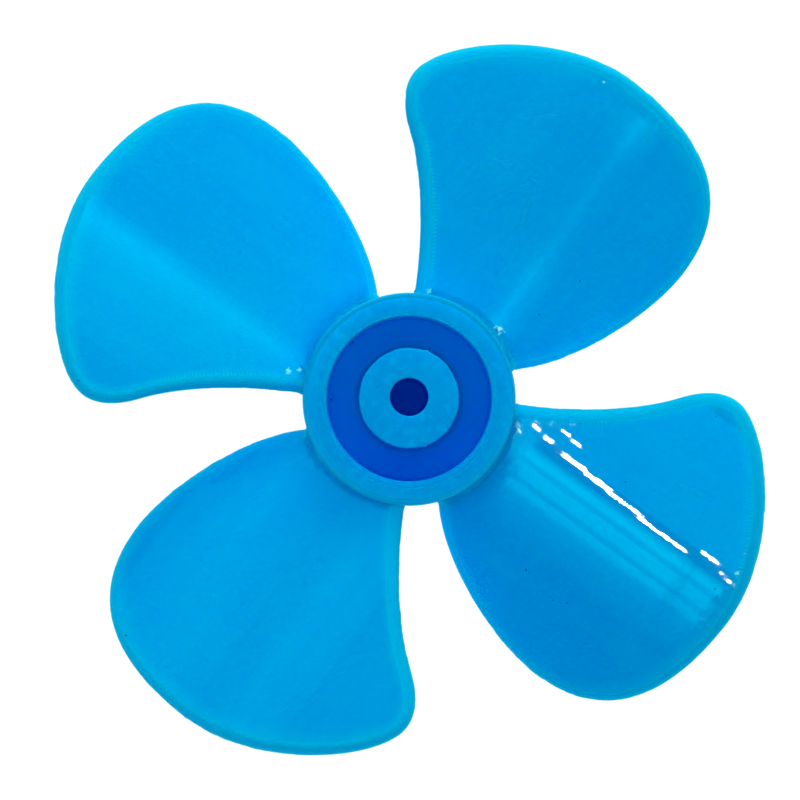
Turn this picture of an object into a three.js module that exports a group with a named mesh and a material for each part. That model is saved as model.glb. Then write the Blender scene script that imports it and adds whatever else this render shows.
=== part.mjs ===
// A four-blade fan propeller for a small motor with a 2 mm shaft, injection moulded in one plastic.
// The hub is a shallow cup. A boss stands in its middle, and the boss's blind bore presses onto the shaft.
// Four broad petal blades grow from the hub's wall. Each is a plate of even thickness, pitched about its
// span and arched across it, so that its middle surface is a trough-shaped sheet that runs along the span.
//
// Millimetres, +Z up along the bore's axis and out of its mouth. The origin is the centre of the nose face
// that the propeller stands on, and the first blade's span lies along +X.
//
// The real thing is one piece. Here each region of the moulding is a solid of its own: the hub's wall, its
// end wall, the shaft boss and the four blades. Neighbours keep JOIN_GAP between them.

import * as THREE from "three";
import { ParametricGeometry } from "three/addons/geometries/ParametricGeometry.js";

const { degToRad, lerp, smoothstep } = THREE.MathUtils;

// Hub
const HUB_RADIUS = 5.5;
const HUB_HEIGHT = 7.8;
const HUB_WALL = 1.27;
const END_WALL = 1.2; // thickness of the hub's closed end
const NOSE_ROUND = 1.0; // radius round the nose
const RIM_ROUND = 0.25; // radius of the rim's outer corner
const RIM_CHAMFER = 0.15; // chamfer of the rim's inner corner
const BOSS_RADIUS = 2.57;
const BOSS_BELOW_RIM = 0.4;
const BORE_RADIUS = 0.975; // presses onto a 2 mm shaft
const BORE_CHAMFER = 0.1;
const JOIN_GAP = 0.05; // clearance between neighbouring regions

// Blades
const BLADE_COUNT = 4;
const BLADE_THICKNESS = 1.1;
const BLADE_PITCH = degToRad(22); // slope across the blade on its span line
const BLADE_ARCH = 0.0125; // fall away from the span line's slope, per mm of chord squared
const BLADE_HEIGHT = 4.35; // height of the span line above the nose
const EDGE_CHAMFER = 0.3;
const ROOT_CHAMFER = 0.03; // where the blade meets the hub's wall
const ROOT_BLEND = 2; // distance from the hub over which the blade's edge turns square to its faces

// The blade's outline seen along the hub's axis, with the span along +X and the raised edge towards +Y: from
// the raised root corner out along the hollow edge, round the corner, over the tip, round the shoulder, and
// back along the full edge to the low root corner. Each curve has two Bezier handles, its end, and its steps.
const ROOT_RADIUS = HUB_RADIUS + JOIN_GAP;
const ROOT_RAISED = degToRad(33);
const ROOT_LOW = degToRad(-37.5);
const ROOT_STEPS = 10;
const BLADE_OUTLINE = [
  { handles: [6.85, 4.15, 9.65, 6.1], end: [11.2, 8.15], steps: 8 },
  { handles: [11.85, 9.0, 12.7, 9.7], end: [13.65, 9.7], steps: 5 },
  { handles: [15.8, 9.7, 20.05, 4.85], end: [19.98, 0.3], steps: 11 },
  { handles: [19.9, -3.45, 18.7, -7.4], end: [13.85, -7.45], steps: 11 },
  { handles: [11.2, -7.5, 6.5, -5.8], end: polar(ROOT_RADIUS, ROOT_LOW), steps: 8 },
];
const BLADE_MIDDLE = new THREE.Vector2(12.5, 0.8); // the faces are ringed round this point
const FACE_RINGS = 4;

const HUB_STEPS = 72; // facets round the hub
const ROUND_STEPS = 2; // pairs of facets round a small radius

const hubPlastic = new THREE.MeshStandardMaterial({ color: "#0593dc", roughness: 0.45, metalness: 0 });
const bladePlastic = new THREE.MeshStandardMaterial({ color: "#059be4", roughness: 0.2, metalness: 0 });

function polar(radius, angle) {
  return [radius * Math.cos(angle), radius * Math.sin(angle)];
}

function named(name, geometry, material) {
  const mesh = new THREE.Mesh(geometry, material);
  mesh.name = name;
  return mesh;
}

// Turns an outline of (radius, height) about +Z.
function turned(outline) {
  return new THREE.LatheGeometry(outline.getPoints(ROUND_STEPS), HUB_STEPS).rotateX(Math.PI / 2);
}

// The hub's wall: a tube with a rounded nose and a flat rim.
function hubWall() {
  const inside = HUB_RADIUS - HUB_WALL;
  const outline = new THREE.Path()
    .moveTo(inside, 0)
    .lineTo(HUB_RADIUS - NOSE_ROUND, 0)
    .absarc(HUB_RADIUS - NOSE_ROUND, NOSE_ROUND, NOSE_ROUND, -Math.PI / 2, 0, false)
    .absarc(HUB_RADIUS - RIM_ROUND, HUB_HEIGHT - RIM_ROUND, RIM_ROUND, 0, Math.PI / 2, false)
    .lineTo(inside + RIM_CHAMFER, HUB_HEIGHT)
    .lineTo(inside, HUB_HEIGHT - RIM_CHAMFER)
    .lineTo(inside, 0);
  return turned(outline);
}

// The hub's closed end: a disc within the wall.
function hubEndWall() {
  const edge = HUB_RADIUS - HUB_WALL - JOIN_GAP;
  const outline = new THREE.Path().moveTo(0, 0).lineTo(edge, 0).lineTo(edge, END_WALL).lineTo(0, END_WALL);
  return turned(outline);
}

// The tube that grips the motor's shaft. The end wall closes its bore.
function shaftBoss() {
  const foot = END_WALL + JOIN_GAP;
  const top = HUB_HEIGHT - BOSS_BELOW_RIM;
  const outline = new THREE.Path()
    .moveTo(BORE_RADIUS, foot)
    .lineTo(BOSS_RADIUS, foot)
    .lineTo(BOSS_RADIUS, top)
    .lineTo(BORE_RADIUS + BORE_CHAMFER, top)
    .lineTo(BORE_RADIUS, top - BORE_CHAMFER)
    .lineTo(BORE_RADIUS, foot);
  return turned(outline);
}

// The blade's outline as a loop of points, which starts and ends at the raised root corner.
function bladeOutline() {
  const path = new THREE.Path().moveTo(...polar(ROOT_RADIUS, ROOT_RAISED));
  for (const { handles, end } of BLADE_OUTLINE) path.bezierCurveTo(...handles, ...end);
  const edge = BLADE_OUTLINE.flatMap(({ steps }, i) => path.curves[i].getPoints(steps).slice(0, -1));
  const root = new THREE.ArcCurve(0, 0, ROOT_RADIUS, ROOT_LOW, ROOT_RAISED, false);
  return [...edge, ...root.getPoints(ROOT_STEPS)];
}

// 0 at the hub's wall, rising to 1 where the blade is free of it.
function clearOfHub({ x, y }) {
  return smoothstep(Math.hypot(x, y), HUB_RADIUS, HUB_RADIUS + ROOT_BLEND);
}

// The outline drawn in by the width of the edge's chamfer.
function chamferedOutline(outline) {
  const count = outline.length - 1;
  return outline.map((point, i) => {
    const next = outline[(i + 1) % count];
    const previous = outline[(i + count - 1) % count];
    const along = next.clone().sub(previous).normalize();
    const outward = new THREE.Vector2(-along.y, along.x);
    return point.clone().addScaledVector(outward, -lerp(ROOT_CHAMFER, EDGE_CHAMFER, clearOfHub(point)));
  });
}

// The blade's point over a place in its outline. side runs from -1 on the lower face to 1 on the upper face.
// Thickness is measured square to the faces, but straight up at the hub's wall, which the root lies against.
function bladePoint(place, side) {
  const { x, y } = place;
  const slope = Math.tan(BLADE_PITCH) - 2 * BLADE_ARCH * y;
  const height = BLADE_HEIGHT + Math.tan(BLADE_PITCH) * y - BLADE_ARCH * y * y;
  const square = new THREE.Vector3(0, -slope, 1).normalize();
  const upright = new THREE.Vector3(0, 0, Math.hypot(1, slope));
  const offset = upright.lerp(square, clearOfHub(place)).multiplyScalar((side * BLADE_THICKNESS) / 2);
  return new THREE.Vector3(x, y, height).add(offset);
}

// One blade, a closed skin of rings from the middle of the upper face, over the edge, to the lower face.
function blade() {
  const outline = bladeOutline();
  const inner = chamferedOutline(outline);
  const flank = 1 - (2 * EDGE_CHAMFER) / BLADE_THICKNESS;
  const shares = Array.from({ length: FACE_RINGS + 1 }, (_, i) => i / FACE_RINGS);
  const ring = (loop, share, side) =>
    loop.map((point) => bladePoint(BLADE_MIDDLE.clone().lerp(point, share), side));
  const rings = [
    ...shares.map((share) => ring(inner, share, 1)),
    ring(outline, 1, flank),
    ring(outline, 1, -flank),
    ...shares.toReversed().map((share) => ring(inner, share, -1)),
  ];
  const columns = outline.length - 1;
  const rows = rings.length - 1;
  const skin = (u, v, target) => target.copy(rings[Math.round(v * rows)][Math.round(u * columns)]);
  return new ParametricGeometry(skin, columns, rows);
}

const propeller = new THREE.Group();
propeller.add(named("hub_wall", hubWall(), hubPlastic));
propeller.add(named("hub_end_wall", hubEndWall(), hubPlastic));
propeller.add(named("shaft_boss", shaftBoss(), hubPlastic));
for (let i = 0; i < BLADE_COUNT; i++) {
  const mesh = named(`blade_${i + 1}`, blade(), bladePlastic);
  mesh.rotation.z = (i * 2 * Math.PI) / BLADE_COUNT;
  propeller.add(mesh);
}

export default propeller;
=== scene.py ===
"""A four-blade fan propeller moulded in translucent blue plastic, lying nose down on a pale floor.

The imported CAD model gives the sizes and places. Finer pieces replace its solids, with the moulding's rounds,
fillets and small faults. Lengths here are in millimetres until a mesh or lamp is made.
"""

import math

import bpy
import numpy as np
from mathutils import Matrix, Vector
from mathutils.geometry import interpolate_bezier


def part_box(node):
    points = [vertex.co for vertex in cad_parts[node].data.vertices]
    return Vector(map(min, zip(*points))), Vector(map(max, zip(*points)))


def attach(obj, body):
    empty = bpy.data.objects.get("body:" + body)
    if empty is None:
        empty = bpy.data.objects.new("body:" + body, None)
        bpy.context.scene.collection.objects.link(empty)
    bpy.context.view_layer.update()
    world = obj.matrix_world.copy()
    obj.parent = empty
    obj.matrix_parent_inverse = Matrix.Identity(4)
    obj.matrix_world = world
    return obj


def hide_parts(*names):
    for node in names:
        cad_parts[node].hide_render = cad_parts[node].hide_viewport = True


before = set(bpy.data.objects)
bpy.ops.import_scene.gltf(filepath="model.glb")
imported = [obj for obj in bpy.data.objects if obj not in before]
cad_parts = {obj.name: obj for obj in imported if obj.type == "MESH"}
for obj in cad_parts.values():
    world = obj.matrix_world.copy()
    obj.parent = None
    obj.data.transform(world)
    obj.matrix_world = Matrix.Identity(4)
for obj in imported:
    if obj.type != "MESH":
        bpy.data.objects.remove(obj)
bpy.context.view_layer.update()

MM = 0.001
BODY = "root"

# ------------------------------------------------------------------ sizes

WALL_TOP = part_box("hub_wall")[1] / MM
END_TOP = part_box("hub_end_wall")[1] / MM
BOSS_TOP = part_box("shaft_boss")[1] / MM

HUB_STEPS = 320
NOSE_ROUND = 1.0
RIM_OUTER_ROUND = 0.38
RIM_INNER_ROUND = 0.12
HUB_DRAFT = 0.05  # how much the wall thins at its rim, on each side
CORNER_FILLET = 0.15  # in the recess's corners
BOSS_ROUND = 0.07
BORE_RADIUS = 0.975
BORE_ROUND = 0.06
GATE_RADIUS = 0.9  # dimple where the plastic was let into the mould
GATE_DEPTH = 0.18
GATE_SIDE = 0.1  # how much wider the dimple is at the nose
GATE_FLOOR_ROUND = 0.1
GATE_EDGE_ROUND = 0.06
BORE_FLOOR = 0.08  # above the end wall
BORE_FLOOR_ROUND = 0.2
BOSS_EMBED = 0.4  # how far the boss runs on into the end wall
BOSS_RAGGED_DEPTH = 0.5
BOSS_WAVES = ((3, 0.012, 0.4), (7, 0.01, 2.0), (13, 0.008, 4.1), (29, 0.004, 1.2))  # waves, size, start
BOSS_NICKS = (math.radians(15.5), math.radians(-125))
NICK_SIZE = 0.07
NICK_WIDTH = 0.09
CORE_SIDE = math.radians(36)  # the way that the mould's core pins stand off centre
BORE_OFF_CENTRE = 0.11
BOSS_OFF_CENTRE = 0.055

BLADE_COUNT = 4
BLADE_THICKNESS = 1.1
BLADE_PITCH = math.radians(22)
BLADE_ARCH = 0.0125
BLADE_HEIGHT = 4.35
BLADE_EMBED = 0.9  # how far a blade runs on into the hub's wall
EDGE_RADIUS = 0.5
EDGE_TURN = math.radians(82)  # the edge's round stops short of the faces, which leaves a faint line
ROOT_FILLET = 0.2
ROOT_RAISED = math.radians(33)
ROOT_LOW = math.radians(-37.5)

# The blade's outline seen along the hub's axis, with its span along +X: Bezier curves from the raised root
# corner, over the tip, to the low root corner, each with two handles and an end.
BLADE_CURVES = (
    ((6.85, 4.15), (9.65, 6.1), (11.2, 8.15)),
    ((11.85, 9.0), (12.7, 9.7), (13.65, 9.7)),
    ((15.8, 9.7), (20.05, 4.85), (19.98, 0.3)),
    ((19.9, -3.45), (18.7, -7.4), (13.85, -7.45)),
    ((11.2, -7.5), (6.5, -5.8), None),
)
BLADE_MIDDLE = np.array((12.5, 0.8))
BLADE_SPREADS = ((1.02, 0.995), (0.97, 0.995), (1.0, 1.01), (1.02, 1.01))  # each blade's low and raised sides
COLUMN_SPACING = 0.15
EDGE_WAVES = (23, 41, 67, 97, 131)  # waves round the outline
EDGE_STRAY = 0.009
EDGE_PATCHES = 3  # stretches round the outline that stray more
CURVE_STEPS = 60
EDGE_RINGS = 17
NEAR_RINGS = 13
NEAR_SHARE = 0.13  # share of the way to the blade's middle with the closest rings
FAR_RINGS = 18
FAR_SHARE = 0.98
FAR_SPREAD = 1.2  # above 1, the rings spread out further in

# ------------------------------------------------------------------ meshes


def polar(radius, angle):
    return (radius * math.cos(angle), radius * math.sin(angle))


def skin(name, rings, low_pole, high_pole, material, marks=None, normals=None):
    """A closed mesh over rings of points, capped at two poles. Rings run anticlockwise seen from above.
    marks holds named values at each point of the rings, for the material. normals are NaN where not known."""
    rows, columns = rings.shape[:2]
    points = [*rings.reshape(-1, 3).tolist(), low_pole, high_pole]
    low, high = rows * columns, rows * columns + 1
    faces = []
    for column in range(columns):
        across = (column + 1) % columns
        faces.append((low, across, column))
        for row in range(rows - 1):
            here, there = row * columns, (row + 1) * columns
            faces.append((here + column, here + across, there + across, there + column))
        last = (rows - 1) * columns
        faces.append((last + column, last + across, high))
    mesh = bpy.data.meshes.new(name)
    mesh.from_pydata([Vector(point) * MM for point in points], [], faces)
    mesh.shade_smooth()
    mesh.materials.append(material)
    for mark, values in (marks or {}).items():
        flat = np.concatenate([values.ravel(), [values[0].mean(), values[-1].mean()]])
        mesh.attributes.new(mark, "FLOAT", "POINT").data.foreach_set("value", flat)
    if normals is not None:
        found = np.array([vertex.normal for vertex in mesh.vertices])
        known = np.flatnonzero(~np.isnan(normals.reshape(-1, 3)[:, 0]))
        found[known] = normals.reshape(-1, 3)[known]
        mesh.normals_split_custom_set_from_vertices(found.tolist())
    obj = bpy.data.objects.new(name, mesh)
    bpy.context.scene.collection.objects.link(obj)
    return obj


def rounded(corners, steps=10):
    """Points of an outline from its corners, each a (radius, height, fillet)."""
    outline = []
    for i, (radius, height, fillet) in enumerate(corners):
        corner = Vector((radius, height))
        if not fillet:
            outline.append(corner)
            continue
        arrive = (corner - Vector(corners[i - 1][:2])).normalized()
        leave = (Vector(corners[i + 1][:2]) - corner).normalized()
        half_turn = math.acos(arrive.dot(leave)) / 2
        centre = corner + (leave - arrive).normalized() * fillet / math.cos(half_turn)
        start = corner - arrive * fillet * math.tan(half_turn) - centre
        end = corner + leave * fillet * math.tan(half_turn) - centre
        for step in range(steps + 1):
            outline.append(centre + start.slerp(end, step / steps).normalized() * fillet)
    return outline


def turned(name, corners, material, spread=lambda angle, radius, height: 0):
    """A closed piece turned about the hub's axis. spread adds to its radius."""
    first, *outline, last = rounded(corners)
    turns = np.arange(HUB_STEPS) * math.tau / HUB_STEPS
    rings = np.empty((len(outline), HUB_STEPS, 3))
    for ring, (radius, height) in zip(rings, outline):
        radii = np.array([radius + spread(angle, radius, height) for angle in turns])
        ring[:, 0] = radii * np.cos(turns)
        ring[:, 1] = radii * np.sin(turns)
        ring[:, 2] = height
    return skin(name, rings, (0, 0, first.y), (0, 0, last.y), material)


# ------------------------------------------------------------------ hub


def hub_cup(material):
    """The hub's wall and closed end, as the one cup that they are."""
    corners = (
        (0, GATE_DEPTH, 0),
        (GATE_RADIUS, GATE_DEPTH, GATE_FLOOR_ROUND),
        (GATE_RADIUS + GATE_SIDE, 0, GATE_EDGE_ROUND),
        (WALL_TOP.x, 0, NOSE_ROUND),
        (WALL_TOP.x - HUB_DRAFT, WALL_TOP.z, RIM_OUTER_ROUND),
        (END_TOP.x + HUB_DRAFT, WALL_TOP.z, RIM_INNER_ROUND),
        (END_TOP.x, END_TOP.z, CORNER_FILLET),
        (0, END_TOP.z, 0),
    )
    return turned("hub_cup", corners, material)


def boss_raggedness(angle, radius, height):
    """How the bore and the boss's outer edge stray from true circles, with the edge's two nicks of flash."""
    lean = math.cos(angle - CORE_SIDE)
    if radius < (BORE_RADIUS + BOSS_TOP.x) / 2:
        return BORE_OFF_CENTRE * lean
    near_end = max(0, 1 - (BOSS_TOP.z - height) / BOSS_RAGGED_DEPTH)
    stray = BOSS_OFF_CENTRE * lean
    stray += sum(size * math.sin(waves * angle + start) for waves, size, start in BOSS_WAVES)
    for nick in BOSS_NICKS:
        apart = math.remainder(angle - nick, math.tau) * BOSS_TOP.x
        stray += NICK_SIZE * math.exp(-((apart / NICK_WIDTH) ** 2))
    return near_end * stray


def shaft_boss(material):
    """The tube round the blind bore, with a fillet at its foot and its end's edge a little ragged."""
    foot = BOSS_TOP.x + CORNER_FILLET
    bed = END_TOP.z - BOSS_EMBED
    corners = (
        (0, bed, 0),
        (foot, bed, 0),
        (foot, END_TOP.z, 0),
        (BOSS_TOP.x, END_TOP.z, CORNER_FILLET),
        (BOSS_TOP.x, BOSS_TOP.z, BOSS_ROUND),
        (BORE_RADIUS, BOSS_TOP.z, BORE_ROUND),
        (BORE_RADIUS, END_TOP.z + BORE_FLOOR, BORE_FLOOR_ROUND),
        (0, END_TOP.z + BORE_FLOOR, 0),
    )
    return turned("shaft_boss", corners, material, boss_raggedness)


# ------------------------------------------------------------------ blades


def slope(across):
    """Rise of the blade's middle surface per unit of chord."""
    return math.tan(BLADE_PITCH) - 2 * BLADE_ARCH * across


def lift(across):
    """Height of the blade's middle surface above the nose."""
    return BLADE_HEIGHT + math.tan(BLADE_PITCH) * across - BLADE_ARCH * across**2


def blade_outline(index):
    """The outline as a loop of evenly spaced points, anticlockwise, with its root inside the hub's wall. Each
    blade came out of the mould a little wider or narrower, and its edge strays in its own way."""
    raised, low = polar(WALL_TOP.x, ROOT_RAISED), polar(WALL_TOP.x, ROOT_LOW)
    inside = WALL_TOP.x - BLADE_EMBED
    path, start = [Vector(raised)], Vector(raised)
    for out_handle, in_handle, end in BLADE_CURVES:
        end = Vector(end or low)
        path += interpolate_bezier(start, Vector(out_handle), Vector(in_handle), end, CURVE_STEPS)[1:]
        start = end
    for angle in np.linspace(ROOT_LOW, ROOT_RAISED, CURVE_STEPS):
        path.append(Vector(polar(inside, angle)))
    loop = np.array([point[:2] for point in [*path, path[0]]])[::-1]
    low_spread, raised_spread = BLADE_SPREADS[index]
    loop[:, 1] *= np.where(loop[:, 1] < 0, low_spread, raised_spread)
    run = np.concatenate([[0], np.cumsum(np.linalg.norm(np.diff(loop, axis=0), axis=1))])
    stations = np.linspace(0, run[-1], round(run[-1] / COLUMN_SPACING), endpoint=False)
    even = np.column_stack([np.interp(stations, run, loop[:, axis]) for axis in (0, 1)])
    middle_of_root = np.argmin(np.linalg.norm(even - (inside, 0), axis=1))
    even = np.roll(even, -middle_of_root, axis=0)

    chance = np.random.default_rng(index)
    stray = np.zeros(len(even))
    for waves in EDGE_WAVES:
        turns = stations / run[-1] * math.tau * waves + chance.uniform(0, math.tau)
        stray += EDGE_STRAY * math.sqrt(EDGE_WAVES[0] / waves) * np.sin(turns)
    patchy = 0.5 + 0.5 * np.sin(stations / run[-1] * math.tau * EDGE_PATCHES + chance.uniform(0, math.tau))
    return even + outward_of(even) * (stray * patchy)[:, None]


def outward_of(outline):
    """Unit vectors in plan that point out of the outline."""
    along = np.roll(outline, -1, axis=0) - np.roll(outline, 1, axis=0)
    along /= np.linalg.norm(along, axis=1, keepdims=True)
    return np.column_stack([along[:, 1], -along[:, 0]])


def clear_of_wall(plan):
    """Distance outside the hub's wall, below 0 within it."""
    return np.linalg.norm(plan, axis=-1) - WALL_TOP.x


def root_fillet(plan):
    """Extra half thickness that the fillet to the hub's wall gives the blade."""
    short = ROOT_FILLET - np.clip(clear_of_wall(plan), 0, ROOT_FILLET)
    return ROOT_FILLET - np.sqrt(ROOT_FILLET**2 - short**2)


def edge_reach(outline):
    """How far the edge's round reaches in from the outline: nowhere at the root's end, inside the wall."""
    return EDGE_RADIUS * np.clip(1 + clear_of_wall(outline) / BLADE_EMBED, 0, 1)[:, None]


def middle_surface(plan):
    """The middle surface over points of the plan, and its unit normals."""
    across = plan[:, 1]
    points = np.column_stack([plan, lift(across)])
    normals = np.column_stack([0 * across, -slope(across), 1 + 0 * across])
    return points, normals / np.linalg.norm(normals, axis=1, keepdims=True)


def blade_face(plan, side):
    points, normals = middle_surface(plan)
    return points + normals * (side * (BLADE_THICKNESS / 2 + root_fillet(plan)))[:, None]


def blade_rings(index):
    """Rings from the middle of the lower face, round the edge, to the middle of the upper face, with normals,
    which are left out in the root's fillet, and with how far in from the edge and along it each point is."""
    outline = blade_outline(index)
    out = outward_of(outline)
    reach = edge_reach(outline)
    rim = outline - reach * out
    points, normals = middle_surface(rim)
    along = np.column_stack([-out[:, 1], out[:, 0]])
    tangent = np.column_stack([along, slope(rim[:, 1]) * along[:, 1]])
    outward = np.cross(tangent / np.linalg.norm(tangent, axis=1, keepdims=True), normals)

    near = np.linspace(0, NEAR_SHARE, NEAR_RINGS, endpoint=False)
    far = NEAR_SHARE + (FAR_SHARE - NEAR_SHARE) * np.linspace(0, 1, FAR_RINGS) ** FAR_SPREAD
    shares = np.concatenate([near, far])[1:]
    inward_room = np.sum((rim - BLADE_MIDDLE) * out, axis=1)
    faces = [rim + (BLADE_MIDDLE - rim) * share for share in shares]
    face_gaps = [reach[:, 0] + inward_room * share for share in shares]
    edge, edge_gaps, edge_normals = [], [], []
    for angle in np.linspace(-EDGE_TURN, EDGE_TURN, EDGE_RINGS):
        side = math.copysign(1, angle)
        flat = side * (BLADE_THICKNESS / 2 - EDGE_RADIUS * math.sin(EDGE_TURN) + root_fillet(rim))
        rise = (flat + EDGE_RADIUS * math.sin(angle))[:, None]
        edge.append(points + outward * reach * math.cos(angle) + normals * rise)
        edge_gaps.append(reach[:, 0] * (1 - math.cos(angle)))
        edge_normals.append(outward * math.cos(angle) + normals * math.sin(angle))
    lower = [blade_face(plan, -1) for plan in faces[::-1]]
    upper = [blade_face(plan, 1) for plan in faces]
    gaps = np.array([*face_gaps[::-1], *edge_gaps, *face_gaps])
    runs = np.broadcast_to(np.arange(len(outline)) * COLUMN_SPACING, gaps.shape)
    face_normals = np.array([middle_surface(plan)[1] for plan in faces])
    all_normals = np.array([*(-face_normals[::-1]), *edge_normals, *face_normals])
    plans = np.array([*faces[::-1], *[rim] * len(edge), *faces])
    all_normals[clear_of_wall(plans) < ROOT_FILLET] = np.nan  # in the fillet
    return np.array([*lower, *edge, *upper]), all_normals, {"edge_gap": gaps, "edge_run": runs}


def turn_to(number):
    """The turn from the first blade to another."""
    return Matrix.Rotation(math.tau * (number - 1) / BLADE_COUNT, 3, "Z")


def blade(index, material):
    rings, normals, marks = blade_rings(index)
    marks["span"], marks["chord"] = rings[..., 0], rings[..., 1]
    marks["which"] = np.full(rings.shape[:2], float(index + 1))
    turn = turn_to(index + 1)
    low, high = (turn @ Vector(blade_face(BLADE_MIDDLE[None], side)[0]) for side in (-1, 1))
    back = np.array(turn).T
    return skin(f"blade_{index + 1}_moulded", rings @ back, low, high, material, marks, normals @ back)


# ------------------------------------------------------------------ materials

SKY = (0.0, 0.93, 1.0)
# A darker copy of the plastic's blue: painted shade that offsets the lamps lighting the hub alone
HUB_DARKENED_BLUE = (0.0, 0.26, 0.64, 1)
FACE_BLUE = (0.0, 0.44, 0.97, 1)
# Paler blue: the hub's random mottle, and painted light on the blades' rims and the hub's lip
PALE_TONE_AND_GLOW_BLUE = (0.0, 0.52, 1.0, 1)
# Painted light: the blades' very edges, paler still
EDGE_GLOW_BLUE = (0.0, 0.55, 1.0, 1)
# Palest blue: real scratches and the hub's witness ring, and painted highlights along the blades' edges
SCRATCH_AND_HIGHLIGHT_BLUE = (0.0, 0.66, 1.0, 1)
PALE_BLUE = (0.0, 0.49, 1.0, 1)
# Deeper blue: the plastic's random tone, and painted shade beside the hub
DEEP_TONE_AND_SHADE_BLUE = (0.0, 0.33, 0.88, 1)
# Painted light and shade in the recess and bore, paler and bluer than the hub so bounced light brightens them
RECESS_PAINTED_LIGHT_BLUE = (0.0, 0.585, 0.98, 1)
RECESS_PAINTED_SHADE_BLUE = (0.0, 0.42, 0.93, 1)
BORE_PAINTED_LIGHT_BLUE = (0.0, 0.27, 0.89, 1)
SPECK_BLUE = (0.0, 0.06, 0.3, 1)
# Painted highlights: small glints in the blades' fillets and at two tips
PAINTED_GLINT_BLUE = (0.6, 0.95, 1.0, 1)
# Painted shade: the inner lip on the side away from the key lamp
INNER_LIP_PAINTED_SHADE = (0.0, 0.15, 0.42, 1)
# Painted shade: the outer lip where the key lamp falls on it
OUTER_LIP_PAINTED_SHADE = (0.0, 0.25, 0.5, 1)
EVENNESS = 0.62  # share of one even colour over the plastic's clouds
SPECK_GRAIN = 9.0  # per millimetre
SUBSURFACE_RADIUS = (0.05, 0.5, 1.0)
COLOUR_A, COLOUR_B, MIXED_COLOUR = 6, 7, 2  # a mix node's sockets for colours
RANGE_SOCKETS = ("Value", "From Min", "From Max", "To Min", "To Max")


class Shader:
    """A plastic material, with short names for adding its nodes. Lengths are in millimetres."""

    def __init__(self, name):
        self.material = bpy.data.materials.new(name)
        self.material.use_nodes = True
        self.tree = self.material.node_tree
        self.bsdf = self.tree.nodes["Principled BSDF"]
        coordinates = self.add("ShaderNodeTexCoord").outputs["Object"]
        self.place = self.vector("SCALE", coordinates, scale=1 / MM)

    def add(self, kind, **settings):
        node = self.tree.nodes.new(kind)
        for key, value in settings.items():
            setattr(node, key, value)
        return node

    def give(self, socket, value):
        if isinstance(value, bpy.types.NodeSocket):
            self.tree.links.new(value, socket)
        else:
            socket.default_value = value

    def math(self, operation, *values):
        node = self.add("ShaderNodeMath", operation=operation)
        for socket, value in zip(node.inputs, values):
            self.give(socket, value)
        return node.outputs[0]

    def vector(self, operation, *values, scale=None, output="Vector"):
        node = self.add("ShaderNodeVectorMath", operation=operation)
        for socket, value in zip(node.inputs, values):
            self.give(socket, value)
        if scale is not None:
            self.give(node.inputs["Scale"], scale)
        return node.outputs[output]

    def split(self, vector):
        node = self.add("ShaderNodeSeparateXYZ")
        self.give(node.inputs[0], vector)
        return node.outputs

    def join(self, *parts):
        node = self.add("ShaderNodeCombineXYZ")
        for socket, part in zip(node.inputs, parts):
            self.give(socket, part)
        return node.outputs[0]

    def mark(self, name):
        return self.add("ShaderNodeAttribute", attribute_name=name).outputs["Fac"]

    def noise(self, per_mm, vector=None, detail=2.0, distortion=0.0):
        node = self.add("ShaderNodeTexNoise")
        self.give(node.inputs["Vector"], vector or self.place)
        self.give(node.inputs["Scale"], per_mm)
        self.give(node.inputs["Detail"], detail)
        self.give(node.inputs["Distortion"], distortion)
        return node.outputs["Fac"]

    def blend(self, share, first, second):
        node = self.add("ShaderNodeMix", data_type="RGBA")
        self.give(node.inputs["Factor"], share)
        self.give(node.inputs[COLOUR_A], first)
        self.give(node.inputs[COLOUR_B], second)
        return node.outputs[MIXED_COLOUR]

    def total(self, *values):
        result = values[0]
        for value in values[1:]:
            result = self.math("ADD", result, value)
        return result

    def times(self, *values):
        result = values[0]
        for value in values[1:]:
            result = self.math("MULTIPLY", result, value)
        return result

    def larger(self, first, second):
        return self.math("MAXIMUM", first, second)

    def between(self, value, start, end, low=0.0, high=1.0):
        """low up to start, high from end on, and smooth in between."""
        node = self.add("ShaderNodeMapRange", interpolation_type="SMOOTHSTEP")
        for key, entry in zip(RANGE_SOCKETS, (value, start, end, low, high)):
            self.give(node.inputs[key], entry)
        return node.outputs[0]

    def fade(self, value, start, end):
        """1 up to start, and 0 from end on."""
        return self.between(value, start, end, 1.0, 0.0)

    def off(self, value, target):
        """How far a value is from target, above or below."""
        return self.math("ABSOLUTE", self.total(value, -target))

    def apart(self, vector, place):
        return self.vector("DISTANCE", vector, place, output="Value")

    def length(self, x, y):
        return self.math("SQRT", self.total(self.times(x, x), self.times(y, y)))

    def facing_up(self):
        """1 where the surface is level, either way up, and 0 where it stands upright."""
        normal = self.add("ShaderNodeNewGeometry").outputs["Normal"]
        return self.math("ABSOLUTE", self.split(normal)[2])

    def specks(self, vector, spots, raggedness=1.0):
        """1 on small ragged spots, each a place and a radius, else 0."""
        ragged = self.noise(SPECK_GRAIN)
        inside, outside = 0.4 + raggedness / 2, 1 + raggedness / 2
        found = 0.0
        for place, radius in spots:
            strayed = self.total(self.apart(vector, place), self.times(ragged, radius * raggedness))
            found = self.larger(found, self.fade(strayed, radius * inside, radius * outside))
        return found

    def finish(self, colour, roughness, gloss, height):
        """Ends the material, as a plastic that light enters a little. height is its fine relief."""
        bump = self.add("ShaderNodeBump")
        self.give(bump.inputs["Height"], height)
        self.give(bump.inputs["Distance"], MM)
        self.give(self.bsdf.inputs["Base Color"], colour)
        self.give(self.bsdf.inputs["Roughness"], roughness)
        self.give(self.bsdf.inputs["Specular IOR Level"], gloss)
        self.give(self.bsdf.inputs["Normal"], bump.outputs[0])
        self.give(self.bsdf.inputs["Subsurface Weight"], 0.8)
        self.give(self.bsdf.inputs["Subsurface Radius"], SUBSURFACE_RADIUS)
        self.give(self.bsdf.inputs["Subsurface Scale"], 0.8 * MM)
        return self.material


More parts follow.
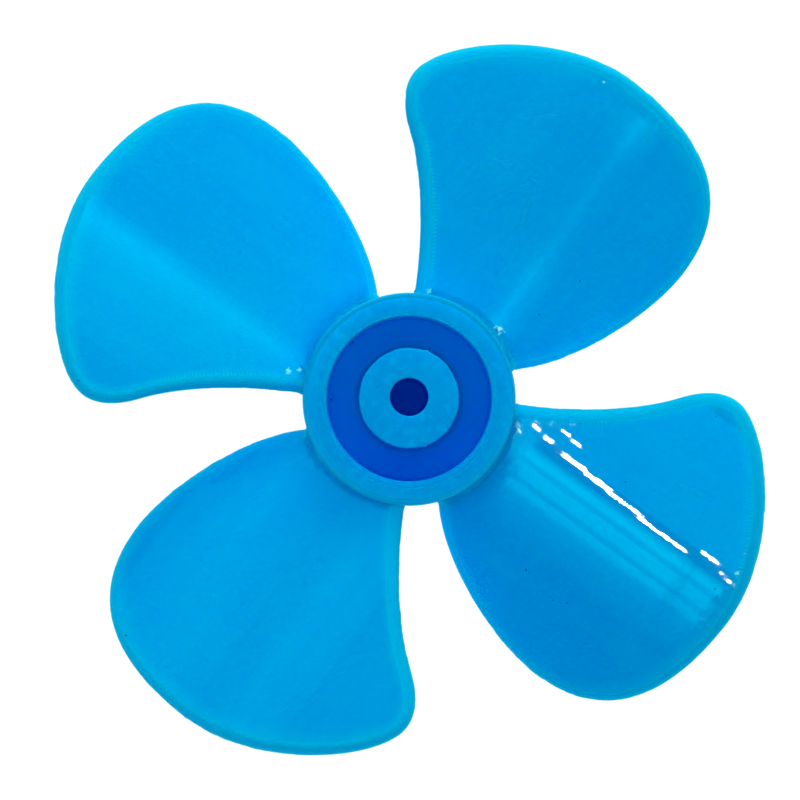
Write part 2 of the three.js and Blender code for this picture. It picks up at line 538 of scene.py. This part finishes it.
# The blades' own coordinates are span and chord, and a third axis along which the four blades are spaced out.
BLADE_APART = 30
DOTTED = (  # blade, span, chord, radius: where the painted highlight along the edge breaks into dots
    (1, 8.3, 5.2, 5.0),
    (1, 19.0, -1.4, 2.4),
    (4, 18.3, 4.8, 3.2),
    (4, 7.5, 4.2, 2.5),
    (2, 9.0, 5.2, 3.5),
)
BLADE_SPECKS = (  # blade, span, chord, radius
    (4, 10.01, -3.56, 0.08),
    (4, 10.25, -3.6, 0.045),
    (4, 11.87, -3.98, 0.05),
    (4, 12.06, -4.01, 0.06),
    (4, 12.72, -3.72, 0.07),
    (4, 18.42, 1.35, 0.08),
    (4, 11.47, 3.1, 0.06),
    (4, 13.24, 8.53, 0.05),
    (1, 10.08, -3.54, 0.07),
    (1, 7.45, -2.86, 0.05),
    (2, 14.3, 9.2, 0.07),
    (3, 18.4, -4.63, 0.08),
)
PAINTED_GLINTS = (  # blade, span, chord, radius: painted glints in the fillets and at two tips
    (1, 5.1, 2.45, 0.15),
    (1, 5.45, -1.75, 0.12),
    (1, 5.6, -1.4, 0.1),
    (2, 5.84, 2.47, 0.18),
    (2, 5.45, 2.1, 0.14),
    (1, 19.02, 1.46, 0.09),
    (4, 5.3, 2.19, 0.2),
    (4, 18.85, 2.7, 0.15),
)
PAINTED_GLINT_RAGGEDNESS = 2.4
SCRATCH_ARCS = (  # blade, centre's span and chord, radius, and the part of it that is scratched
    (1, 9.0, -3.5, 9.45, 15.9, 3.0, 2.2),
    (1, 6.0, 1.0, 7.05, 12.9, 2.4, 1.8),
    (1, 9.0, -3.5, 6.2, 12.3, 1.8, 2.0),
    (1, 14.0, -9.0, 10.2, 11.7, 0.9, 1.6),
    (1, 4.0, 9.0, 10.3, 9.75, 0.5, 1.8),
    (1, 22.0, 8.0, 8.0, 15.9, 3.0, 1.5),
    (4, 16.0, -2.0, 7.0, 14.6, 4.6, 1.2),
    (4, 0.0, 0.0, 5.72, 5.7, -0.2, 1.2),
)
SCRATCH_WIDTH = 0.05
TICK_PITCH = 0.2  # from dot to dot
DOTS_GAP = 0.6  # in from the edge
THIN_LINE_GAP = 0.52
SHADED_RIM_BLADE = 2  # painted shade: its rim is painted dimmer along its low side, and its painted root shade reaches further out


def in_blade(number, span, chord):
    """A place in the blades' own coordinates."""
    return (span, chord, number * BLADE_APART)


def blade_spots(entries):
    """The place and radius of each spot, in the blades' own coordinates."""
    return [(in_blade(*place), radius) for *place, radius in entries]


def painted_rim_glow(s, gap, span, chord, on_shaded_blade):
    """Share of the rim's painted light, paler where light through the thin edge would show and wider at the
    tip, painted dimmer along one blade's low side as painted shade.
    """
    wander = s.times(s.total(s.noise(0.5), -0.5), 0.4)
    reach = s.between(span, 13.0, 18.0, 0.95, 1.45)
    rim = s.fade(s.total(gap, wander), 0.4, reach)
    return s.times(rim, s.total(1.0, s.times(on_shaded_blade, s.between(chord, -6.0, -3.0, -0.4, 0.0))))


def painted_root_shade(s, span, chord, on_shaded_blade):
    """Share of the painted shade beside the hub's wall, a deeper blue, which reaches further out on the blade
    whose rim is painted dimmer.
    """
    from_axis = s.length(span, chord)
    wide = s.times(on_shaded_blade, s.between(from_axis, 5.4, 6.6, 0.95, 0.0), s.fade(chord, 1.0, 2.2))
    return s.larger(wide, s.between(from_axis, 5.6, 5.85, 0.3, 0.0))


def painted_edge_highlights(s, local, gap, run, cloud):
    """Share of the painted highlight along the edge's crease, a fine line with dots and short dashes in
    places, and the dots' real relief.
    """
    ticked = s.math("SINE", s.times(run, math.tau / TICK_PITCH))
    patches = 0.0
    for place, radius in blade_spots(DOTTED):
        patches = s.larger(patches, s.fade(s.apart(local, place), radius * 0.6, radius))
    dotted_band = s.fade(s.off(gap, DOTS_GAP), 0.03, 0.11)
    dots = s.times(dotted_band, s.between(ticked, -0.4, 0.6), patches, 0.8)
    thin_band = s.fade(s.off(gap, THIN_LINE_GAP), 0.01, 0.06)
    thin_line = s.times(thin_band, s.between(cloud, 0.35, 0.55, 0.15, 0.6))
    dashed_band = s.times(s.between(gap, 0.55, 0.65), s.fade(gap, 0.85, 1.05))
    dashes = s.times(dashed_band, s.between(ticked, 0.0, 1.0), patches)
    share = s.total(s.times(s.larger(thin_line, dots), 0.8), s.times(dashes, 0.16))
    return share, s.times(ticked, dotted_band, patches)


def scratches(s, local):
    """1 on the scratched stretches of thin arcs, broken up here and there."""
    found = 0.0
    for number, centre_span, centre_chord, radius, at_span, at_chord, length in SCRATCH_ARCS:
        from_centre = s.apart(local, in_blade(number, centre_span, centre_chord))
        thin = s.fade(s.off(from_centre, radius), 0.0, SCRATCH_WIDTH)
        stretch = s.fade(s.apart(local, in_blade(number, at_span, at_chord)), length * 0.5, length)
        found = s.larger(found, s.times(thin, stretch))
    return s.times(found, s.between(s.noise(1.6), 0.4, 0.6))


def blade_surface():
    """Glossy, with flow marks, fine scratches and specks; painted light gives a paler rim, with a painted
    highlight dotted along the edge, painted glints in the fillets and painted shade by the hub.
    """
    s = Shader("blade_plastic_gloss")
    gap, run, which = s.mark("edge_gap"), s.mark("edge_run"), s.mark("which")
    span, chord = s.mark("span"), s.mark("chord")
    local = s.join(span, chord, s.times(which, BLADE_APART))
    on_shaded_blade = s.math("COMPARE", which, SHADED_RIM_BLADE, 0.5)

    cloud = s.noise(0.16, detail=3.0)
    flow_place = s.join(s.times(span, 0.09), s.times(chord, 1.1), which)
    flow = s.noise(1.0, flow_place, detail=4.0, distortion=0.3)
    grain = s.noise(14.0, detail=1.0)
    tone = s.total(s.times(cloud, 0.5), s.times(flow, 0.3), s.times(grain, 0.2))
    colour = s.blend(s.between(tone, 0.3, 0.7), DEEP_TONE_AND_SHADE_BLUE, PALE_BLUE)
    colour = s.blend(EVENNESS, colour, FACE_BLUE)
    # Painted shade beside the hub's wall
    colour = s.blend(painted_root_shade(s, span, chord, on_shaded_blade), colour, DEEP_TONE_AND_SHADE_BLUE)

    # Painted light: a paler rim where light through the thin edge would show, painted dimmer on one blade's
    # low side
    colour = s.blend(painted_rim_glow(s, gap, span, chord, on_shaded_blade), colour, PALE_TONE_AND_GLOW_BLUE)
    very_edge = s.fade(gap, 0.02, 0.45)
    # Painted light: the very edge is paler still
    colour = s.blend(very_edge, colour, EDGE_GLOW_BLUE)
    highlight_share, dot_relief = painted_edge_highlights(s, local, gap, run, cloud)
    # Painted highlight: a fine pale line along the edge's crease, dotted and dashed in places
    colour = s.blend(highlight_share, colour, SCRATCH_AND_HIGHLIGHT_BLUE)

    scratched = scratches(s, local)
    colour = s.blend(s.times(scratched, 0.22), colour, SCRATCH_AND_HIGHLIGHT_BLUE)
    speckled = s.specks(local, blade_spots(BLADE_SPECKS))
    colour = s.blend(s.times(speckled, 0.75), colour, SPECK_BLUE)
    # Painted highlights: small glints in the fillets and at two tips
    colour = s.blend(s.specks(local, blade_spots(PAINTED_GLINTS), PAINTED_GLINT_RAGGEDNESS), colour, PAINTED_GLINT_BLUE)

    polish = s.between(s.noise(0.4, detail=2.0), 0.35, 0.65, 0.008, 0.014)
    roughness = s.total(polish, s.times(very_edge, 0.3), s.times(scratched, 0.2))
    steepness_cut = s.between(s.facing_up(), 0.5, 0.84, 0.25, 1.0)
    gloss = s.times(s.between(very_edge, 0.2, 0.9, 0.5, 0.12), steepness_cut)
    height = s.total(
        s.times(s.noise(0.25, detail=0.0), 0.003),
        s.times(s.noise(2.2, detail=1.0), 0.0004),
        s.times(dot_relief, 0.002),
    )
    return s.finish(colour, roughness, gloss, height)


WITNESS_CENTRE = (-0.073, -0.053, 0)  # the ring that the ejector sleeve left is a little off centre
WITNESS_RADIUS = 4.46
HUB_SPECKS = (  # the hub's x, y, z and the radius
    (0.64, 4.05, 1.3, 0.12),
    (0.5, 4.1, 1.4, 0.13),
    (0.92, 4.01, 1.3, 0.09),
    (-2.38, 3.24, 1.25, 0.1),
    (-0.45, 1.68, 7.4, 0.05),
    (4.95, -2.22, 7.62, 0.06),
)

# The hub's regions blend into each other between two values: of how level a surface is, of the radius, or of
# the height.
LEVEL = (0.9, 0.99)
ROUNDED = (0.1, 0.4)
UPRIGHT = (0.3, 0.6)
BORE_EDGE = (1.0, 1.3)
RECESS_EDGE = (4.3, 4.35)
INNER_LIP_START, INNER_LIP_END = (4.2, 4.3), (4.6, 4.8)
OUTER_LIP_START = (4.9, 5.1)
WALL_START = (5.2, 5.35)
NOSE_END = (0.8, 1.1)
SUNK_START = (7.3, 6.6)  # going down
ENDS_START = (6.5, 7.0)


def witness_ring(s, x, y, flat_end):
    """1 on the ejector sleeve's thin broken ring."""
    from_witness = s.apart(s.join(x, y, 0.0), WITNESS_CENTRE)
    ring = s.fade(s.off(from_witness, WITNESS_RADIUS), 0.0, 0.07)
    return s.times(ring, flat_end, s.between(s.noise(3.2, detail=1.0), 0.42, 0.6))


def hub_surface():
    """Satin, finely mottled on its flat ends, with turning marks, specks in the recess and a nicked lip; a
    darker copy of the blue stands in as painted shade, and its lips, recess and bore hold painted light and
    shade.
    """
    s = Shader("hub_plastic_satin")
    x, y, height_up = s.split(s.place)
    radius = s.length(x, y)
    toward_core = s.total(s.times(x, math.cos(CORE_SIDE)), s.times(y, math.sin(CORE_SIDE)))
    facing_up = s.facing_up()
    flat_end = s.times(s.between(facing_up, *LEVEL), s.between(height_up, *ENDS_START))
    lips = s.times(s.between(facing_up, *ROUNDED), s.fade(facing_up, *LEVEL))
    outer_lip = s.times(lips, s.between(radius, *OUTER_LIP_START))
    inner_lip = s.times(lips, s.between(radius, *INNER_LIP_START), s.fade(radius, *INNER_LIP_END))
    wall = s.times(s.fade(facing_up, *UPRIGHT), s.between(radius, *WALL_START))
    outside = s.larger(wall, s.fade(height_up, *NOSE_END))
    sunk = s.times(s.between(height_up, *SUNK_START), s.fade(radius, *RECESS_EDGE))
    witness = witness_ring(s, x, y, flat_end)

    cloud = s.noise(0.35, detail=3.0)
    mottle = s.noise(2.4, detail=4.0)
    grain = s.noise(13.0, detail=2.0)
    tone = s.total(s.times(cloud, 0.4), s.times(mottle, 0.35), s.times(grain, 0.25))
    colour = s.blend(s.between(tone, 0.35, 0.68), DEEP_TONE_AND_SHADE_BLUE, PALE_BLUE)
    # Painted shade: the hub takes a darker copy of the blades' blue, offsetting the lamps that light only the
    # hub; its outside keeps the blades' blue below
    colour = s.blend(EVENNESS, colour, HUB_DARKENED_BLUE)
    colour = s.blend(s.times(flat_end, s.between(mottle, 0.52, 0.72), 0.25), colour, PALE_TONE_AND_GLOW_BLUE)
    # Painted light: the flat end paler toward its outer lip
    colour = s.blend(s.times(flat_end, s.between(radius, 4.6, 5.3), 0.2), colour, PALE_TONE_AND_GLOW_BLUE)
    # Painted light and shade on the outer lip: paler on the side away from the key lamp, darker on the key
    # lamp's side
    colour = s.blend(s.times(outer_lip, s.between(toward_core, -5.0, 5.0, 0.9, 0.0)), colour, PALE_TONE_AND_GLOW_BLUE)
    colour = s.blend(s.times(outer_lip, s.between(toward_core, -1.0, 5.0, 0.0, 0.9)), colour, OUTER_LIP_PAINTED_SHADE)
    # Painted shade: the inner lip darker on the side away from the key lamp
    colour = s.blend(s.times(inner_lip, s.between(toward_core, -4.4, 0.0, 0.6, 0.0)), colour, INNER_LIP_PAINTED_SHADE)
    colour = s.blend(s.times(outside, 0.75), colour, FACE_BLUE)
    # The witness ring is a real groove; its paler colour is partly a painted highlight of the glints along it
    colour = s.blend(s.times(witness, 0.35), colour, SCRATCH_AND_HIGHLIGHT_BLUE)

    # Painted light and shade: the recess a paler blue and the bore a bluer one than the hub, so bounced light
    # brightens them as light through the plastic's walls would; the recess is painted darker on the side away
    # from the key lamp
    recess = s.blend(s.between(toward_core, -4.3, 1.5), RECESS_PAINTED_SHADE_BLUE, RECESS_PAINTED_LIGHT_BLUE)
    colour = s.blend(sunk, colour, s.blend(s.between(radius, *BORE_EDGE), BORE_PAINTED_LIGHT_BLUE, recess))
    speckled = s.specks(s.place, [(place, size) for *place, size in HUB_SPECKS])
    colour = s.blend(s.times(speckled, 0.7), colour, SPECK_BLUE)

    satin = s.between(mottle, 0.35, 0.65, 0.36, 0.5)
    roughness = s.total(satin, s.times(outer_lip, -0.04), s.times(witness, -0.24))
    gloss = s.times(s.between(facing_up, 0.2, 0.7, 0.06, 0.5), s.total(1.0, s.times(inner_lip, -0.8)))
    s.give(s.bsdf.inputs["Specular Tint"], (*SKY, 1))
    turning_marks = s.math("SINE", s.total(s.times(radius, 38.0), s.times(cloud, 5.0)))
    height = s.total(
        s.times(s.noise(0.8), 0.01),
        s.times(grain, 0.004),
        s.times(turning_marks, flat_end, 0.0004),
        s.times(s.noise(4.0, detail=1.0), outer_lip, 0.03),
        s.times(witness, -0.03),
    )
    return s.finish(colour, roughness, gloss, height)


# ------------------------------------------------------------------ assembly

hub_plastic = hub_surface()
blade_plastic = blade_surface()

cup = hub_cup(hub_plastic)
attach(cup, BODY)
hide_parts("hub_wall", "hub_end_wall")

boss = shaft_boss(hub_plastic)
boss.name = "shaft_boss_moulded"
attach(boss, BODY)
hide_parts("shaft_boss")

blades = [blade(index, blade_plastic) for index in range(BLADE_COUNT)]
for index, piece in enumerate(blades):
    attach(piece, BODY)
    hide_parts(f"blade_{index + 1}")

# ------------------------------------------------------------------ camera and surroundings

VIEW_WIDTH = 41.1
CAMERA_HEIGHT = 1200
CAMERA_ROLL = math.radians(-54)
HUB_IN_VIEW = Vector((0.47, 0.04, 0))  # right of and above the picture's centre
SENSOR = 36
CLIP_END = 10  # metres
WHITE = (1.0, 1.0, 1.0)
FLOOR_GREY = (0.1, 0.1, 0.1, 1)
FLOOR_HALF_WIDTH = 2  # metres
WORLD_STRENGTH = 0.28


def add_camera():
    """A long lens over the propeller, rolled so that the first blade points up to the right."""
    data = bpy.data.cameras.new("camera")
    data.sensor_width = SENSOR
    data.lens = SENSOR * (CAMERA_HEIGHT - BLADE_HEIGHT) / VIEW_WIDTH
    data.clip_end = CLIP_END
    camera = bpy.data.objects.new("camera", data)
    bpy.context.scene.collection.objects.link(camera)
    roll = Matrix.Rotation(CAMERA_ROLL, 3, "Z")
    camera.location = (Vector((0, 0, CAMERA_HEIGHT)) - roll @ HUB_IN_VIEW) * MM
    camera.rotation_euler = (0, 0, CAMERA_ROLL)
    bpy.context.scene.camera = camera


def sky_in_gloss(tree, socket):
    """White light, but sky blue where the plastic's gloss mirrors it."""
    colour = tree.nodes.new("ShaderNodeMix")
    colour.data_type = "RGBA"
    colour.inputs[COLOUR_A].default_value = (*WHITE, 1)
    colour.inputs[COLOUR_B].default_value = (*SKY, 1)
    tree.links.new(tree.nodes.new("ShaderNodeLightPath").outputs["Is Glossy Ray"], colour.inputs["Factor"])
    tree.links.new(colour.outputs[MIXED_COLOUR], socket)


def add_floor():
    signs = ((-1, -1), (1, -1), (1, 1), (-1, 1))
    corners = [(x * FLOOR_HALF_WIDTH, y * FLOOR_HALF_WIDTH, 0) for x, y in signs]
    mesh = bpy.data.meshes.new("floor")
    mesh.from_pydata(corners, [], [(0, 1, 2, 3)])
    floor = bpy.data.objects.new("floor", mesh)
    bpy.context.scene.collection.objects.link(floor)
    material = bpy.data.materials.new("floor_white")
    material.use_nodes = True
    bsdf = material.node_tree.nodes["Principled BSDF"]
    bsdf.inputs["Base Color"].default_value = FLOOR_GREY
    bsdf.inputs["Roughness"].default_value = 1
    bsdf.inputs["Specular IOR Level"].default_value = 0
    bsdf.inputs["Emission Strength"].default_value = 1
    sky_in_gloss(material.node_tree, bsdf.inputs["Emission Color"])
    material.cycles.emission_sampling = "NONE"
    mesh.materials.append(material)


def add_world():
    world = bpy.data.worlds.new("world")
    world.use_nodes = True
    background = world.node_tree.nodes["Background"]
    background.inputs["Strength"].default_value = WORLD_STRENGTH
    sky_in_gloss(world.node_tree, background.inputs["Color"])
    world.cycles.sampling_method = "NONE"
    bpy.context.scene.world = world


# ------------------------------------------------------------------ lamps

WARM = (0.0, 1.0, 0.78)
GREENISH = (0.0, 1.0, 0.95)
PALE_SKY = (0.6, 0.95, 1.0)
SKY_STRONG = (0.0, 0.9, 1.7)
BOUNCES = 14  # the recess and the bore are lit from wall to wall
LIT_CENTRE = Vector((0, 0, 5))

CEILING_HEIGHT = 700
CEILING_SIZE = (1100, 1100)
CEILING_RADIANCE = 0.87
CEILING_STOPS = ((0, 0), (0.35, 1), (0.65, 1), (1, 0))

# Each way to a lamp is an azimuth in the picture and the degrees off the hub's axis.
KEY_WAY = (82, 50)
KEY_DISTANCE = 260
KEY_SIZE = (150, 150)
KEY_RADIANCE = 1.5
SECOND_KEY_RADIANCE = 3.4  # from the same place, on the hub, and on the blades without the hub's shadow
HUB_SIDE_WAY = (92, 45)
HUB_SIDE_DISTANCE = 42
HUB_SIDE_SIZE = (12, 12)
HUB_SIDE_RADIANCE = 14
HUB_GLINT_WAY = (78, 50)
HUB_GLINT_DISTANCE = 300
HUB_GLINT_SIZE = (80, 10)
HUB_GLINT_RADIANCE = 6

GLINT_DISTANCE = 300
STREAK_DISTANCE = 130
STREAK_RADIANCE = 60
STREAKS = (  # on the fourth blade: stretches of span and chord
    ((8.0, 9.6), (2.5, 2.74)),
    ((9.5, 11.2), (2.4, 2.66)),
    ((11.1, 13.2), (2.32, 2.52)),
    ((13.1, 16.2), (2.18, 2.36)),
    ((16.75, 17.9), (2.65, 2.82)),
    ((18.15, 18.35), (2.36, 2.5)),
    ((18.62, 18.85), (2.25, 2.4)),
    ((6.0, 6.35), (2.86, 3.0)),
    ((6.72, 7.3), (2.68, 2.92)),
    ((7.3, 7.75), (3.5, 3.66)),
    ((7.95, 8.45), (3.38, 3.54)),
    ((5.3, 5.6), (2.2, 2.32)),
)
ROOT_GLINT = ((5.62, 5.76), (-1.75, -1.2))  # on the first blade
ROOT_GLINT_RADIANCE = 13

# The soft glints' stops of (span, share of the radiance) and of (chord, radiance).
WINDOW_SPAN = ((6.1, 0), (6.9, 1), (16.7, 1), (16.95, 0.45), (17.2, 0.9), (18.6, 0.9), (19, 0.3))
WINDOW_CHORD = (
    (-2.4, 0), (-1.0, 1.3), (-0.6, 1.8), (-0.25, 4.2), (0.0, 4.6), (0.11, 2.5), (0.26, 2.6), (0.42, 4.6),
    (1.0, 5.3), (1.13, 3.3), (1.28, 3.4), (1.5, 6.2), (1.75, 5.4), (1.95, 2.6), (2.1, 1.9),
)
ROOT_GLOW_SPAN = ((4.6, 1), (6.3, 1), (7.0, 0))
ROOT_GLOW_CHORD = ((0.6, 0), (1.2, 3.6), (2.5, 3.6), (3.1, 0))
WHOLE_SPAN = ((4, 1), (20, 1))
GLOW_CHORD = ((2.75, 1.8), (4.5, 1.6), (9.0, 1.6))
SHEEN_1_SPAN = ((4.6, 1), (5.8, 1), (6.6, 0.7), (9, 0.66), (11, 0.25), (16, 0.25), (17.5, 0.6), (19, 0.7))
SHEEN_1_CHORD = ((-2.4, 0.1), (-1.55, 2.4), (-1.1, 5.0), (-0.6, 2.4), (0.1, 1.35), (5, 1.35), (7, 0.4))
SHEEN_2_SPAN = ((4, 0.6), (7, 0.9), (12, 0.9), (14, 1.1), (20, 1.1))
SHEEN_2_CHORD = (
    (0.1, 0), (1.1, 0.6), (1.65, 2.4), (2.1, 3.7), (2.5, 3.2), (3.1, 2.1), (4.4, 1.4), (5.4, 1.1), (7.5, 0.6),
)
SHEEN_3_CHORD = ((-6, 0.5), (-3.5, 0.9), (-2.5, 1.2), (0.2, 0.7), (0.6, 0.4), (3.2, 1.2), (5.5, 0.5))
SOFT_GLINTS = (  # name, blade, stops, colour
    ("window", 4, WINDOW_SPAN, WINDOW_CHORD, SKY),
    ("root_glow", 4, ROOT_GLOW_SPAN, ROOT_GLOW_CHORD, SKY),
    ("glow", 4, WHOLE_SPAN, GLOW_CHORD, SKY_STRONG),
    ("blade_1_sheen", 1, SHEEN_1_SPAN, SHEEN_1_CHORD, SKY),
    ("blade_2_sheen", 2, SHEEN_2_SPAN, SHEEN_2_CHORD, SKY),
    ("blade_3_sheen", 3, WHOLE_SPAN, SHEEN_3_CHORD, SKY),
)


def lamp(
    name, place, target, size, radiance, along=(0, 0, 1), shines="both", only=(), shaded_by=(), colour=SKY
):
    """A rectangular lamp of even radiance that faces target, with the second side of its size running along.
    It lights only some pieces, and only some cast its shadows, if they are named."""
    data = bpy.data.lights.new(name, "AREA")
    data.shape = "RECTANGLE"
    data.size, data.size_y = (side * MM for side in size)
    data.energy = radiance * math.pi * data.size * data.size_y
    data.color = colour
    obj = bpy.data.objects.new(name, data)
    bpy.context.scene.collection.objects.link(obj)
    away = (place - target).normalized()
    side = Vector(along).cross(away).normalized()
    axes = Matrix((side, away.cross(side), away)).transposed().to_4x4()
    obj.matrix_world = Matrix.Translation(place * MM) @ axes
    obj.visible_camera = False
    obj.visible_glossy = shines != "diffuse"
    obj.visible_diffuse = shines != "glossy"
    obj.visible_transmission = obj.visible_diffuse
    for role, pieces in (("receiver_collection", only), ("blocker_collection", shaded_by)):
        if pieces:
            chosen = bpy.data.collections.new(f"{name}_{role}")
            for piece in pieces:
                chosen.objects.link(piece)
            setattr(obj.light_linking, role, chosen)
    return data


def shade_lamp(data, across, lengthwise):
    """Varies a lamp over its face, by stops of (share of the way, share of the radiance) for each side."""
    data.use_nodes = True
    tree = data.node_tree
    spot = tree.nodes.new("ShaderNodeSeparateXYZ")
    tree.links.new(tree.nodes.new("ShaderNodeNewGeometry").outputs["Parametric"], spot.inputs[0])
    product = tree.nodes.new("ShaderNodeMath")
    product.operation = "MULTIPLY"
    tree.links.new(product.outputs[0], tree.nodes["Emission"].inputs["Strength"])
    for axis, stops in enumerate((across, lengthwise)):
        ramp = tree.nodes.new("ShaderNodeValToRGB")
        tree.links.new(spot.outputs[axis], ramp.inputs[0])
        tree.links.new(ramp.outputs[0], product.inputs[axis])
        elements = ramp.color_ramp.elements
        for element, (position, level) in zip(elements, (stops[0], stops[-1])):
            element.position, element.color = position, (level, level, level, 1)
        for position, level in stops[1:-1]:
            elements.new(position).color = (level, level, level, 1)


def mirrored(number, span, chord, distance):
    """The point that the camera sees mirrored in a blade's upper face, and the point where it sees it."""
    rise = slope(chord)
    seen = Vector((span, chord, lift(chord)))
    ray = Vector((span / CAMERA_HEIGHT, -2 * rise / (1 + rise**2), (1 - rise**2) / (1 + rise**2)))
    return turn_to(number) @ (seen + ray * distance), turn_to(number) @ seen


def glint(name, number, span, chord, radiance, distance=GLINT_DISTANCE, colour=SKY):
    """A lamp that is only seen mirrored: in a blade's upper face, over these stretches of span and chord."""
    middle = sum(span) / 2
    low, high = (mirrored(number, middle, at, distance)[0] for at in chord)
    place, seen = mirrored(number, middle, sum(chord) / 2, distance)
    length = (span[1] - span[0]) * (1 + distance / CAMERA_HEIGHT)
    size = ((high - low).length, length)
    along = turn_to(number) @ Vector((1, 0, 0))
    only = (blades[number - 1],)
    return lamp(name, place, seen, size, radiance, along, shines="glossy", only=only, colour=colour)


def soft_glint(name, number, span_stops, chord_stops, colour):
    """A glint whose radiance goes by stops of (chord, radiance) times stops of (span, share)."""
    peak = max(radiance for _, radiance in chord_stops)
    ends = [(stops[0][0], stops[-1][0]) for stops in (span_stops, chord_stops)]
    data = glint(name, number, *ends, peak, colour=colour)
    lengthwise, across = (
        [((at - start) / (end - start), level) for at, level in stops]
        for (start, end), stops in zip(ends, (span_stops, chord_stops))
    )
    shade_lamp(data, [(1 - share, radiance / peak) for share, radiance in across[::-1]], lengthwise)


def toward(image_azimuth, off_axis):
    """Unit vector off_axis degrees from straight up, toward an azimuth of the picture."""
    azimuth, off_axis = math.radians(image_azimuth) + CAMERA_ROLL, math.radians(off_axis)
    flat = math.sin(off_axis)
    return Vector((flat * math.cos(azimuth), flat * math.sin(azimuth), math.cos(off_axis)))


def add_studio_lamps():
    """A soft ceiling, the key lamp to one side, and two small lamps on the hub alone."""
    overhead = Vector((0, 0, CEILING_HEIGHT))
    ceiling = lamp("ceiling", overhead, LIT_CENTRE, CEILING_SIZE, CEILING_RADIANCE, along=(0, 1, 0))
    shade_lamp(ceiling, CEILING_STOPS, CEILING_STOPS)

    hub = (cup, boss)
    key_place = toward(*KEY_WAY) * KEY_DISTANCE
    for name, radiance, only, shaded_by in (
        ("key", KEY_RADIANCE, (), ()),
        ("key_on_hub", SECOND_KEY_RADIANCE, hub, ()),
        ("key_past_hub", SECOND_KEY_RADIANCE, blades, blades),
    ):
        lamp(
            name, key_place, LIT_CENTRE, KEY_SIZE, radiance,
            shines="diffuse", only=only, shaded_by=shaded_by, colour=WARM,
        )

    side_place = toward(*HUB_SIDE_WAY) * HUB_SIDE_DISTANCE
    lamp(
        "hub_side", side_place, LIT_CENTRE, HUB_SIDE_SIZE, HUB_SIDE_RADIANCE,
        shines="diffuse", only=hub, colour=GREENISH,
    )
    glint_place = toward(*HUB_GLINT_WAY) * HUB_GLINT_DISTANCE
    lamp("hub_glint", glint_place, LIT_CENTRE, HUB_GLINT_SIZE, HUB_GLINT_RADIANCE, shines="glossy", only=hub)


def add_glints():
    for number, (span, chord) in enumerate(STREAKS):
        glint(f"streak_{number}", 4, span, chord, STREAK_RADIANCE, STREAK_DISTANCE, WHITE)
    glint("root_glint", 1, *ROOT_GLINT, ROOT_GLINT_RADIANCE, STREAK_DISTANCE, PALE_SKY)
    for soft in SOFT_GLINTS:
        soft_glint(*soft)


add_camera()
add_floor()
add_world()
add_studio_lamps()
add_glints()
bpy.context.scene.view_settings.view_transform = "Standard"
bpy.context.scene.cycles.max_bounces = BOUNCES
bpy.context.scene.cycles.diffuse_bounces = BOUNCES
